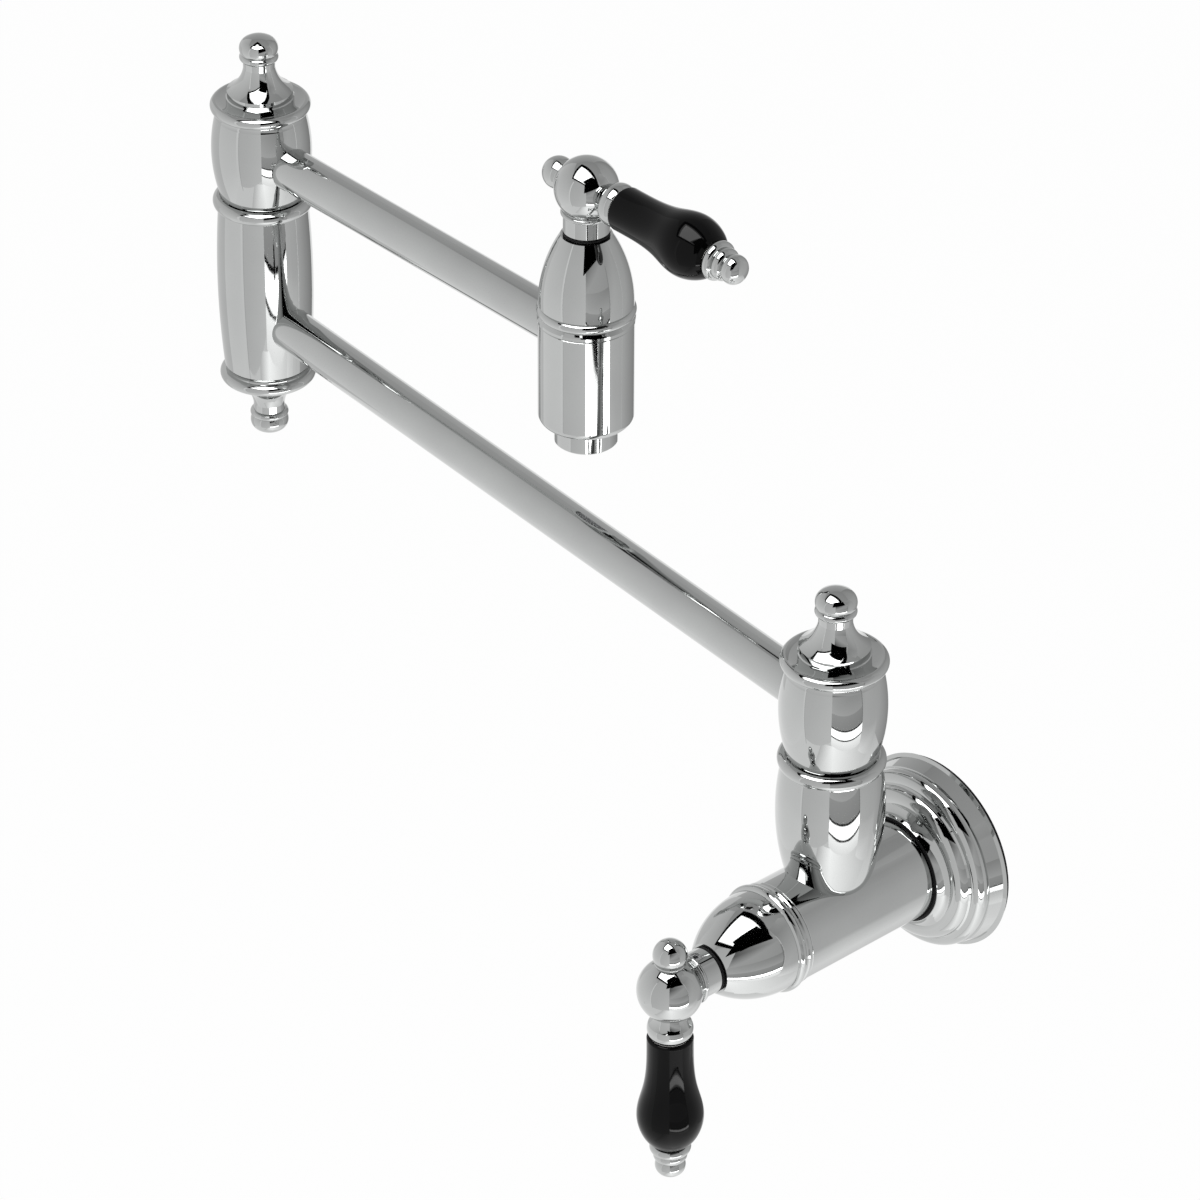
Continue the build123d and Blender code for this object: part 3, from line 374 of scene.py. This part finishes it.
class Finishes:
    """One material for each slot of the record, made when it is first asked for."""

    def __init__(self) -> None:
        """List the finishes."""
        brass = {"light": (0.80, 0.60, 0.30), "dark": (0.66, 0.46, 0.20), "roughness": 0.26}
        steel = {"light": (0.60, 0.60, 0.61), "dark": (0.46, 0.46, 0.47), "roughness": 0.3}
        rubber = Moulded("black_rubber", (0.007, 0.007, 0.0075), (0.003, 0.003, 0.0035), 0.5, specular=0.12)
        alumina = Moulded("alumina", (0.86, 0.85, 0.81), (0.76, 0.75, 0.71), 0.3)
        acetal = Moulded("white_acetal", (0.84, 0.84, 0.82), (0.76, 0.76, 0.74), 0.38)
        plastic = Moulded("grey_plastic", (0.50, 0.51, 0.52), (0.38, 0.39, 0.40), 0.4)
        self.recipes: dict[tuple[Slot, Axis], Finish] = {
            (Slot.POLISHED_CHROME, Axis.UP): Chrome("polished_chrome"),
            (Slot.CHROMED_TUBE, Axis.UP): Chrome("chromed_tube", haze=0.035, drawn=True),
            (Slot.RAW_BRASS, Axis.UP): Turned("turned_brass_upright", axis=Axis.UP, **brass),
            (Slot.RAW_BRASS, Axis.OUT): Turned("turned_brass_level", axis=Axis.OUT, **brass),
            (Slot.STAINLESS_STEEL, Axis.UP): Turned("turned_steel_upright", axis=Axis.UP, **steel),
            (Slot.STAINLESS_STEEL, Axis.OUT): Turned("turned_steel_level", axis=Axis.OUT, **steel),
            (Slot.BLACK_RUBBER, Axis.UP): rubber,
            (Slot.BLACK_PORCELAIN, Axis.UP): Porcelain("black_porcelain"),
            (Slot.ALUMINA_CERAMIC, Axis.UP): alumina,
            (Slot.WHITE_ACETAL, Axis.UP): acetal,
            (Slot.GREY_PLASTIC, Axis.UP): plastic,
        }
        self.made: dict[tuple[Slot, Axis], bpy.types.Material] = {}

    def get(self, slot: Slot, axis: Axis = Axis.UP) -> bpy.types.Material:
        """Return the material of a slot, turned to an axis where the slot has one for it."""
        key = (slot, axis) if (slot, axis) in self.recipes else (slot, Axis.UP)
        if key not in self.made:
            self.made[key] = self.recipes[key].make()
        return self.made[key]


FINISHES = Finishes()
SLOT_OF = {row["node"]: Slot(row["material_slot"]) for row in frame["record"]["subparts"]}


def dress(nodes: Iterable[str], axis: Axis = Axis.UP) -> None:
    """Give some of the model's nodes the finishes of their slots.

    Args:
        nodes: the nodes' names.
        axis: the direction that their own axes run in.
    """
    for node in nodes:
        piece = frame["nodes"][node]
        material = FINISHES.get(SLOT_OF[node], axis)
        if not piece.material_slots:
            piece.data.materials.append(material)
        for slot in piece.material_slots:
            slot.material = material


# ------------------------------------------------------------------ geometry nodes
class Pattern(Bench):
    """A Geometry Nodes tree that makes one repeated form, such as a thread or a screen."""

    def __init__(self, name: str) -> None:
        """Start a tree with no inputs and one mesh output."""
        super().__init__(bpy.data.node_groups.new(name, "GeometryNodeTree"))
        self.tree.interface.new_socket("Geometry", in_out="OUTPUT", socket_type="NodeSocketGeometry")
        self.inlet = self.node("NodeGroupInput")
        self.values: dict[str, float] = {}

    def size(self, name: str, value: float) -> bpy.types.NodeSocket:
        """Add a named input for a size or a count, and return it inside the tree."""
        kind = "NodeSocketInt" if isinstance(value, int) else "NodeSocketFloat"
        socket = self.tree.interface.new_socket(name, in_out="INPUT", socket_type=kind)
        self.values[socket.identifier] = value
        return self.inlet.outputs[socket.name]

    def swept(self, path: bpy.types.Node, sides: int, radius: bpy.types.NodeSocket) -> bpy.types.NodeSocket:
        """Return a path thickened to a closed bar, with a number of sides and a radius."""
        values = {"Resolution": sides, "Radius": radius}
        section = self.node("GeometryNodeCurvePrimitiveCircle", inputs=values)
        values = {"Curve": path.outputs[0], "Profile Curve": section.outputs[0], "Fill Caps": True}
        return self.node("GeometryNodeCurveToMesh", inputs=values).outputs[0]

    def piece(
        self,
        name: str,
        geometry: bpy.types.NodeSocket,
        material: bpy.types.Material,
        place: Matrix,
    ) -> bpy.types.Object:
        """Finish the tree and turn its result into a plain mesh object.

        Args:
            name: the new object's name.
            geometry: the tree's last geometry.
            material: the finish of the whole piece.
            place: where the pattern stands in the model's frame.

        Returns:
            The object, at the origin with its place in its mesh.
        """
        real = self.node("GeometryNodeRealizeInstances", inputs={0: geometry})
        values = {"Geometry": real.outputs[0], "Material": material}
        dressed = self.node("GeometryNodeSetMaterial", inputs=values)
        self.node("NodeGroupOutput", inputs={0: dressed.outputs[0]})
        holder = bpy.data.objects.new(name + "_tree", bpy.data.meshes.new(name + "_tree"))
        bpy.context.scene.collection.objects.link(holder)
        modifier = holder.modifiers.new("pattern", "NODES")
        modifier.node_group = self.tree
        for key, value in self.values.items():
            modifier[key] = value
        graph = bpy.context.evaluated_depsgraph_get()
        mesh = bpy.data.meshes.new_from_object(holder.evaluated_get(graph), depsgraph=graph)
        bpy.data.objects.remove(holder)
        mesh.transform(place)
        mesh.name = name
        result = bpy.data.objects.new(name, mesh)
        bpy.context.scene.collection.objects.link(result)
        return result


# ------------------------------------------------------------------ the pot filler
@dataclass
class WallMount:
    """The flange, the valve body with its riser, and the inlet behind them."""

    nodes: tuple[str, ...] = ("wall_flange", "flange_gasket", "flange_o_ring", "valve_body", "inlet_adapter")
    thread_pitch: float = 0.001814
    thread_turns: float = 6.0
    thread_radius: float = 0.0094
    thread_section: float = 0.0008
    thread_start: float = -0.0021
    thread_steps: int = 64
    ridge_sides: int = 3

    def thread(self) -> bpy.types.Object:
        """Make the pipe thread inside the inlet adapter."""
        tree = Pattern("inlet_thread_tree")
        radius = tree.size("Radius", self.thread_radius)
        turns = tree.size("Turns", self.thread_turns)
        height = tree.size("Height", self.thread_turns * self.thread_pitch)
        section = tree.size("Section", self.thread_section)
        values = {
            "Resolution": self.thread_steps,
            "Rotations": turns,
            "Start Radius": radius,
            "End Radius": radius,
            "Height": height,
        }
        spiral = tree.node("GeometryNodeCurveSpiral", inputs=values)
        ridge = tree.swept(spiral, self.ridge_sides, section)
        place = Matrix.Translation((0.0, self.thread_start, 0.0)) @ Matrix.Rotation(math.pi / 2, 4, "X")
        piece = tree.piece("inlet_thread", ridge, FINISHES.get(Slot.RAW_BRASS, Axis.OUT), place)
        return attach(piece, "wall_mount")

    def build(self) -> list[bpy.types.Object]:
        """Dress the flange, its seals and the body, and make the thread."""
        dress(self.nodes, Axis.OUT)
        return [self.thread()]


@dataclass
class Swivel:
    """A hollow post with its seals, and the barrel and finial that turn on it."""

    side: str
    parts: tuple[str, ...] = (
        "post", "post_o_rings", "glide_ring", "post_washer", "post_nut", "barrel", "finial",
    )

    def build(self) -> list[bpy.types.Object]:
        """Dress the post, what is on it, and the barrel and finial above."""
        dress(f"{self.side}_{part}" for part in self.parts)
        return []


@dataclass
class Arm:
    """A tube between two barrels."""

    tube: str
    others: tuple[str, ...] = ()

    def build(self) -> list[bpy.types.Object]:
        """Dress the tube and what is brazed to it."""
        dress((self.tube, *self.others))
        return []


@dataclass
class Valve:
    """A quarter turn ceramic cartridge under its domed bonnet."""

    side: str
    axis: Axis
    parts: tuple[str, ...] = (
        "bonnet", "neck_o_ring", "seat_seal", "fixed_disc",
        "cartridge_body", "turning_disc", "stem", "stem_o_rings",
    )

    def build(self) -> list[bpy.types.Object]:
        """Dress the bonnet and every piece of the cartridge."""
        dress((f"{self.side}_{part}" for part in self.parts), self.axis)
        return []


@dataclass
class Lever:
    """A ball hub with its knob, and a lever with a porcelain grip."""

    side: str
    axis: Axis
    parts: tuple[str, ...] = (
        "hub", "grub_screw", "ball_knob", "lever_collar",
        "grip_washers", "grip", "lever_rod", "lever_tip",
    )

    def build(self) -> list[bpy.types.Object]:
        """Dress the hub, the knob, the grip and its fittings."""
        dress((f"{self.side}_{part}" for part in self.parts), self.axis)
        return []


@dataclass
class Spout:
    """The outlet body with its aerator."""

    nodes: tuple[str, ...] = ("spout_body", "aerator_washer", "aerator_housing", "aerator_insert")
    screen_wires: int = 25
    screen_width: float = 0.0176
    screen_drop: float = 0.0004
    wire_radius: float = 0.00011
    wire_sides: int = 5

    def screen(self) -> bpy.types.Object:
        """Make the round wire screen on the aerator's underside, cut from a square grid."""
        low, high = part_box("aerator_insert")
        tree = Pattern("aerator_screen_tree")
        wires = tree.size("Wires", self.screen_wires)
        width = tree.size("Width", self.screen_width)
        wire = tree.size("Wire radius", self.wire_radius)
        values = {"Size X": width, "Size Y": width, "Vertices X": wires, "Vertices Y": wires}
        grid = tree.node("GeometryNodeMeshGrid", inputs=values)
        place = tree.node("GeometryNodeInputPosition")
        reach = tree.node("ShaderNodeVectorMath", {"operation": "LENGTH"}, {0: place.outputs[0]})
        limit = Wire(tree, width) * 0.5
        values = {0: reach.outputs["Value"], 1: limit}
        outside = tree.node("FunctionNodeCompare", {"operation": "GREATER_THAN"}, values)
        values = {"Geometry": grid.outputs[0], "Selection": outside.outputs[0]}
        cut = tree.node("GeometryNodeDeleteGeometry", {"domain": "POINT"}, values)
        lines = tree.node("GeometryNodeMeshToCurve", inputs={0: cut.outputs[0]})
        mesh = tree.swept(lines, self.wire_sides, wire)
        middle = Vector(((low.x + high.x) / 2, (low.y + high.y) / 2, low.z - self.screen_drop))
        steel = FINISHES.get(Slot.STAINLESS_STEEL)
        piece = tree.piece("aerator_screen", mesh, steel, Matrix.Translation(middle))
        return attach(piece, "short_arm")

    def build(self) -> list[bpy.types.Object]:
        """Dress the outlet and make the screen."""
        dress(self.nodes)
        return [self.screen()]


# ------------------------------------------------------------------ camera
TOWER_FOOT = Vector((0.0, -0.056, 0.0))


@dataclass(frozen=True)
class Viewpoint:
    """The photograph's camera, solved from the object's circles and straight edges."""

    turn: float = 47.91
    dip: float = 32.39
    roll: float = 0.19
    distance: float = 2.18014
    aside: float = -0.08474
    above: float = 0.11206
    focal_px: float = 6013.28
    centre_px: tuple[float, float] = (594.75, 595.42)
    frame_px: float = 1200.0
    sensor_mm: float = 36.0
    clip_near: float = 0.02
    clip_far: float = 60.0

    def axes(self) -> tuple[Vector, Vector, Vector]:
        """Return the camera's right, up and forward directions before it is rolled."""
        turn, dip = math.radians(self.turn), math.radians(self.dip)
        forward = Vector((-math.sin(turn) * math.cos(dip), math.cos(turn) * math.cos(dip), -math.sin(dip)))
        right = Vector((math.cos(turn), math.sin(turn), 0.0))
        return right, right.cross(forward), forward

    def build(self) -> bpy.types.Object:
        """Make the camera and set it as the scene's."""
        right, up, forward = self.axes()
        roll = Matrix.Rotation(math.radians(self.roll), 4, "Z")
        matrix = Matrix((right, up, -forward)).transposed().to_4x4() @ roll
        matrix.translation = TOWER_FOOT - self.distance * forward + self.aside * right + self.above * up
        data = bpy.data.cameras.new("camera")
        data.sensor_width = self.sensor_mm
        data.lens = self.focal_px / self.frame_px * self.sensor_mm
        half = self.frame_px / 2
        data.shift_x = (half - self.centre_px[0]) / self.frame_px
        data.shift_y = (self.centre_px[1] - half) / self.frame_px
        data.clip_start, data.clip_end = self.clip_near, self.clip_far
        camera = bpy.data.objects.new("camera", data)
        camera.matrix_world = matrix
        bpy.context.scene.collection.objects.link(camera)
        bpy.context.scene.camera = camera
        return camera


# ------------------------------------------------------------------ cards
TOWARD = Vector((0.742, -0.670, 0.0))
RIGHTWARD = Vector((0.670, 0.742, 0.0))


@dataclass(frozen=True)
class Card:
    """A flat reflector or flag, which only mirror-like surfaces see.

    Its corners are given in the photographer's own directions: metres towards the camera, to its right and
    up, from the foot of the tower's axis. Each corner has a brightness of its own.
    """

    name: str
    corners: tuple[Place, ...]
    levels: Levels

    @classmethod
    def upright(
        cls,
        name: str,
        bearing: float,
        distance: float,
        sides: tuple[float, float],
        heights: tuple[float, float],
        levels: Levels,
    ) -> Card:
        """Return an upright card that faces the tower.

        Args:
            name: the card's name.
            bearing: the way it stands from the tower, in degrees from the camera towards the camera's right.
            distance: how far it stands from the tower, in metres.
            sides: its left and right edges, in metres from its middle.
            heights: its lower and upper edges.
            levels: brightness at lower left, lower right, upper right and upper left.

        Returns:
            The card.
        """
        turn = math.radians(bearing)
        low, high = heights
        ring = []
        for side, height in zip((*sides, *reversed(sides)), (low, low, high, high)):
            toward = distance * math.cos(turn) - side * math.sin(turn)
            rightward = distance * math.sin(turn) + side * math.cos(turn)
            ring.append((toward, rightward, height))
        return cls(name, tuple(ring), levels)

    @classmethod
    def lying(cls, name: str, height: float, spots: tuple[tuple[float, float], ...], levels: Levels) -> Card:
        """Return a level card.

        Args:
            name: the card's name.
            height: its height.
            spots: how far each corner is towards the camera and to its right.
            levels: brightness at each corner.

        Returns:
            The card.
        """
        return cls(name, tuple((toward, rightward, height) for toward, rightward in spots), levels)

    def points(self) -> list[Vector]:
        """Return the corners in the model's frame."""
        return [
            TOWER_FOOT + toward * TOWARD + rightward * RIGHTWARD + Vector((0, 0, height))
            for toward, rightward, height in self.corners
        ]

    def paint(self) -> bpy.types.Material:
        """Return the card's light, which blends between its corners' levels."""
        material = bpy.data.materials.new(self.name)
        material.use_nodes = True
        bench = Bench(material.node_tree)
        level = bench.node("ShaderNodeAttribute", {"attribute_name": "level"})
        glow = bench.node("ShaderNodeEmission", inputs={"Strength": level.outputs["Fac"]})
        bench.node("ShaderNodeOutputMaterial", inputs={"Surface": glow.outputs[0]})
        return material

    def build(self) -> bpy.types.Object:
        """Make the card, hidden from the camera and from matt surfaces."""
        mesh = bpy.data.meshes.new(self.name)
        mesh.from_pydata(self.points(), [], [tuple(range(len(self.corners)))])
        mesh.attributes.new("level", "FLOAT", "POINT").data.foreach_set("value", self.levels)
        mesh.materials.append(self.paint())
        card = bpy.data.objects.new(self.name, mesh)
        bpy.context.scene.collection.objects.link(card)
        card.visible_camera = card.visible_diffuse = card.visible_shadow = False
        return card


def even(level: float) -> Levels:
    """Return one level for all four corners."""
    return (level, level, level, level)


BLACK = even(0.0)
WHITE = even(2.0)
GLARE = even(7.0)

# The bearing, distance and side edges that several upright cards share.
FAR_ROOM = (27.5, 1.45, (-0.92, 0.92))
APRON = (27.5, 1.4, (-0.89, 0.89))
RIGHT_SIDE = (80.0, 1.3, (-0.47, 0.47))
# The height of the cards that lie just above the floor.
LOW = -1.33

FLAG_CORNERS = ((0.46, -0.18, 0.31), (0.46, 0.62, 0.58), (0.46, 0.62, 1.2), (0.46, -0.18, 0.72))
SHADE_CORNERS = ((-0.345, -0.438, -0.16), (-0.58, -0.178, -0.16), (-0.58, -0.178, 0.2), (-0.345, -0.438, 0.2))
GLOW_LEFT_CORNERS = ((0.1, -0.75), (0.1, 0.0), (1.6, 0.0), (1.6, -0.75))
GLOW_RIGHT_CORNERS = ((0.0, 0.0), (0.0, 1.5), (1.6, 1.5), (1.6, 0.0))
SIDE_CORNERS = ((0.0, 0.3), (-1.2, 0.3), (-1.2, 1.9), (0.0, 1.9))
CEILING_CORNERS = ((-1.75, -2.2), (-1.75, 2.2), (1.4, 2.2), (1.4, -2.2))

# Where cards overlap, the nearer one hides the other. The glare inside the soft box and inside the white
# apron reads as white in the chrome, and is what shows in the porcelain.
CARDS = (
    Card("black_flag", FLAG_CORNERS, BLACK),
    Card.lying("black_canopy", 0.90, ((0.46, -0.28), (1.15, 0.05), (0.62, 0.75), (0.15, 0.15)), BLACK),
    Card.lying("soft_box_core", 0.94, ((0.12, -0.72), (0.47, -0.39), (0.17, 0.14), (-0.29, -0.26)), GLARE),
    Card.lying("soft_box", 0.95, ((0.10, -0.79), (1.00, 0.02), (0.53, 0.54), (-0.37, -0.27)), WHITE),
    Card.lying("soft_box_rim", 0.96, ((0.10, -0.97), (1.18, 0.02), (0.53, 0.72), (-0.55, -0.27)), BLACK),
    Card.upright("far_room_low", *FAR_ROOM, (-0.74, -0.42), (0.46, 0.40, 0.46, 0.52)),
    Card.upright("far_room_middle", *FAR_ROOM, (-0.42, 0.10), (0.68, 0.58, 0.38, 0.56)),
    Card.upright("far_room_high", *FAR_ROOM, (0.10, 0.95), (0.60, 0.50, 0.52, 0.14)),
    Card.upright("far_room_top", *FAR_ROOM, (0.95, 1.6), (0.14, 0.52, 0.56, 0.14)),
    Card.upright("far_room_edge", 27.5, 1.44, (0.86, 0.92), (-0.74, 0.6), even(0.33)),
    Card.upright("upper_arc", *APRON, (-0.755, -0.715), BLACK),
    Card.upright("white_apron_core", 27.5, 1.39, (-0.84, 0.84), (-0.94, -0.785), GLARE),
    Card.upright("white_apron", *APRON, (-0.98, -0.755), WHITE),
    Card.upright("lower_arc", *APRON, (-1.02, -0.98), BLACK),
    Card.upright("pale_apron", *APRON, (-1.34, -1.02), (1.4, 1.3, 1.6, 1.7)),
    Card.lying("floor_glow_left", LOW, GLOW_LEFT_CORNERS, (0.8, 1.4, 1.7, 0.8)),
    Card.lying("floor_glow_right", LOW, GLOW_RIGHT_CORNERS, (1.4, 0.9, 1.2, 1.7)),
    Card.lying("floor_side_right", LOW, SIDE_CORNERS, (1.3, 0.7, 0.7, 0.85)),
    Card.upright("right_card_low", 80.0, 1.31, (-0.47, 0.47), (-1.34, -0.7), (1.3, 0.95, 0.66, 0.74)),
    Card.upright("right_card_near", *RIGHT_SIDE, (-0.7, 1.1), (0.74, 0.66, 0.5, 0.4)),
    Card.upright("right_card_high", *RIGHT_SIDE, (1.1, 2.0), (0.4, 0.5, 0.55, 0.4)),
    Card.upright("right_card_far", 130.0, 1.5, (-0.9, 0.9), (-1.2, 2.0), (0.66, 0.24, 0.4, 0.55)),
    Card.upright("back_card", 180.0, 1.7, (-2.2, 2.2), (0.1, 2.0), (0.58, 0.62, 0.46, 0.46)),
    Card.lying("ceiling_card", 2.0, CEILING_CORNERS, (0.42, 0.36, 0.5, 0.6)),
    Card.upright("left_card_near", -33.5, 1.6, (-0.87, 0.87), (-1.34, 2.0), (0.78, 0.88, 0.7, 0.66)),
    Card.upright("left_seam", -62.0, 1.6, (-0.02, 0.02), (-1.34, 1.2), even(0.66)),
    Card.upright("left_card_far", -108.0, 1.5, (-1.35, 1.35), (-1.34, 2.0), (1.05, 1.0, 0.6, 0.6)),
    Card("elbow_shade", SHADE_CORNERS, even(0.76)),
)


# ------------------------------------------------------------------ floor, room and lamps
@dataclass(frozen=True)
class Lamp:
    """A soft square lamp that shines at the tap. Mirrors see the cards instead of it."""

    name: str
    where: Place
    size: float
    power: float = 14.0

    def build(self) -> bpy.types.Object:
        """Hang the lamp."""
        data = bpy.data.lights.new(self.name, "AREA")
        data.energy, data.size = self.power, self.size
        lamp = bpy.data.objects.new(self.name, data)
        aim = Vector(self.where).to_track_quat("Z", "Y").to_matrix().to_4x4()
        lamp.matrix_world = Matrix.Translation(self.where) @ aim
        lamp.visible_glossy = False
        bpy.context.scene.collection.objects.link(lamp)
        return lamp


@dataclass
class Studio:
    """A white floor far below the tap, a white room and soft light from above and the left."""

    floor_drop: float = 1.35
    floor_half: float = 14.0
    floor_white: float = 0.97
    floor_colour: Colour = (0.93, 0.93, 0.93)
    room_light: float = 0.7
    lamps: tuple[Lamp, ...] = (
        Lamp("soft_lamp_above", (0.2, -0.5, 1.6), 1.2),
        Lamp("soft_lamp_left", (-1.4, -1.0, 0.8), 1.0),
    )

    def seen(self, bench: Bench) -> Wire:
        """Return 1 for rays from the camera or by way of a mirror or glass, and 0 for the rest."""
        path = bench.node("ShaderNodeLightPath")
        seen = bench.wire(path, "Is Camera Ray")
        for kind in ("Is Glossy Ray", "Is Transmission Ray"):
            seen = seen.at_least(bench.wire(path, kind))
        return seen

    def floor_material(self) -> bpy.types.Material:
        """Return the floor's material: white where it is seen, and matt where the light falls on it."""
        material = bpy.data.materials.new("white_floor")
        material.use_nodes = True
        bench = Bench(material.node_tree)
        matt = bench.node("ShaderNodeBsdfDiffuse", inputs={"Color": (*self.floor_colour, 1.0)})
        glow = bench.node("ShaderNodeEmission", inputs={"Strength": 1.0})
        share = self.seen(bench) * self.floor_white
        mixed = bench.node("ShaderNodeMixShader", inputs={0: share, 1: matt.outputs[0], 2: glow.outputs[0]})
        bench.node("ShaderNodeOutputMaterial", inputs={"Surface": mixed.outputs[0]})
        return material

    def floor(self) -> bpy.types.Object:
        """Make the floor, which shows white and still takes a soft shadow."""
        half, drop = self.floor_half, -self.floor_drop
        corners = [(-half, -half, drop), (half, -half, drop), (half, half, drop), (-half, half, drop)]
        mesh = bpy.data.meshes.new("floor")
        mesh.from_pydata(corners, [], [(0, 1, 2, 3)])
        mesh.materials.append(self.floor_material())
        floor = bpy.data.objects.new("floor", mesh)
        bpy.context.scene.collection.objects.link(floor)
        return floor

    def room(self) -> None:
        """Light the room evenly, and show it white."""
        world = bpy.data.worlds.new("white_room")
        bpy.context.scene.world = world
        world.use_nodes = True
        bench = Bench(world.node_tree)
        light = bench.node("ShaderNodeBackground", inputs={"Strength": self.room_light})
        white = bench.node("ShaderNodeBackground", inputs={"Color": (1.0, 1.0, 1.0, 1.0), "Strength": 1.0})
        values = {0: self.seen(bench), 1: light.outputs[0], 2: white.outputs[0]}
        mixed = bench.node("ShaderNodeMixShader", inputs=values)
        bench.node("ShaderNodeOutputWorld", inputs={"Surface": mixed.outputs[0]})

    def build(self) -> None:
        """Set up the floor, the room, the lamps and the cards."""
        self.floor()
        self.room()
        for thing in (*self.lamps, *CARDS):
            thing.build()


def main() -> None:
    """Build each sub-assembly in order."""
    logging.basicConfig(level=logging.INFO, format="%(name)s: %(message)s")
    bpy.context.scene.view_settings.view_transform = "Standard"
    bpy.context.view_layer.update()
    assemblies = (
        WallMount(),
        Valve("front", Axis.OUT),
        Lever("front", Axis.OUT),
        Swivel("tower"),
        Arm("long_arm_tube", ("elbow_lower_barrel", "elbow_lower_finial")),
        Swivel("elbow"),
        Arm("short_arm_tube"),
        Spout(),
        Valve("spout", Axis.UP),
        Lever("spout", Axis.UP),
    )
    for assembly in assemblies:
        for piece in assembly.build():
            log.info("%s: %d faces", piece.name, len(piece.data.polygons))
        log.info("%s is dressed", type(assembly).__name__)
    Viewpoint().build()
    Studio().build()


if __name__ == "__main__":
    main()
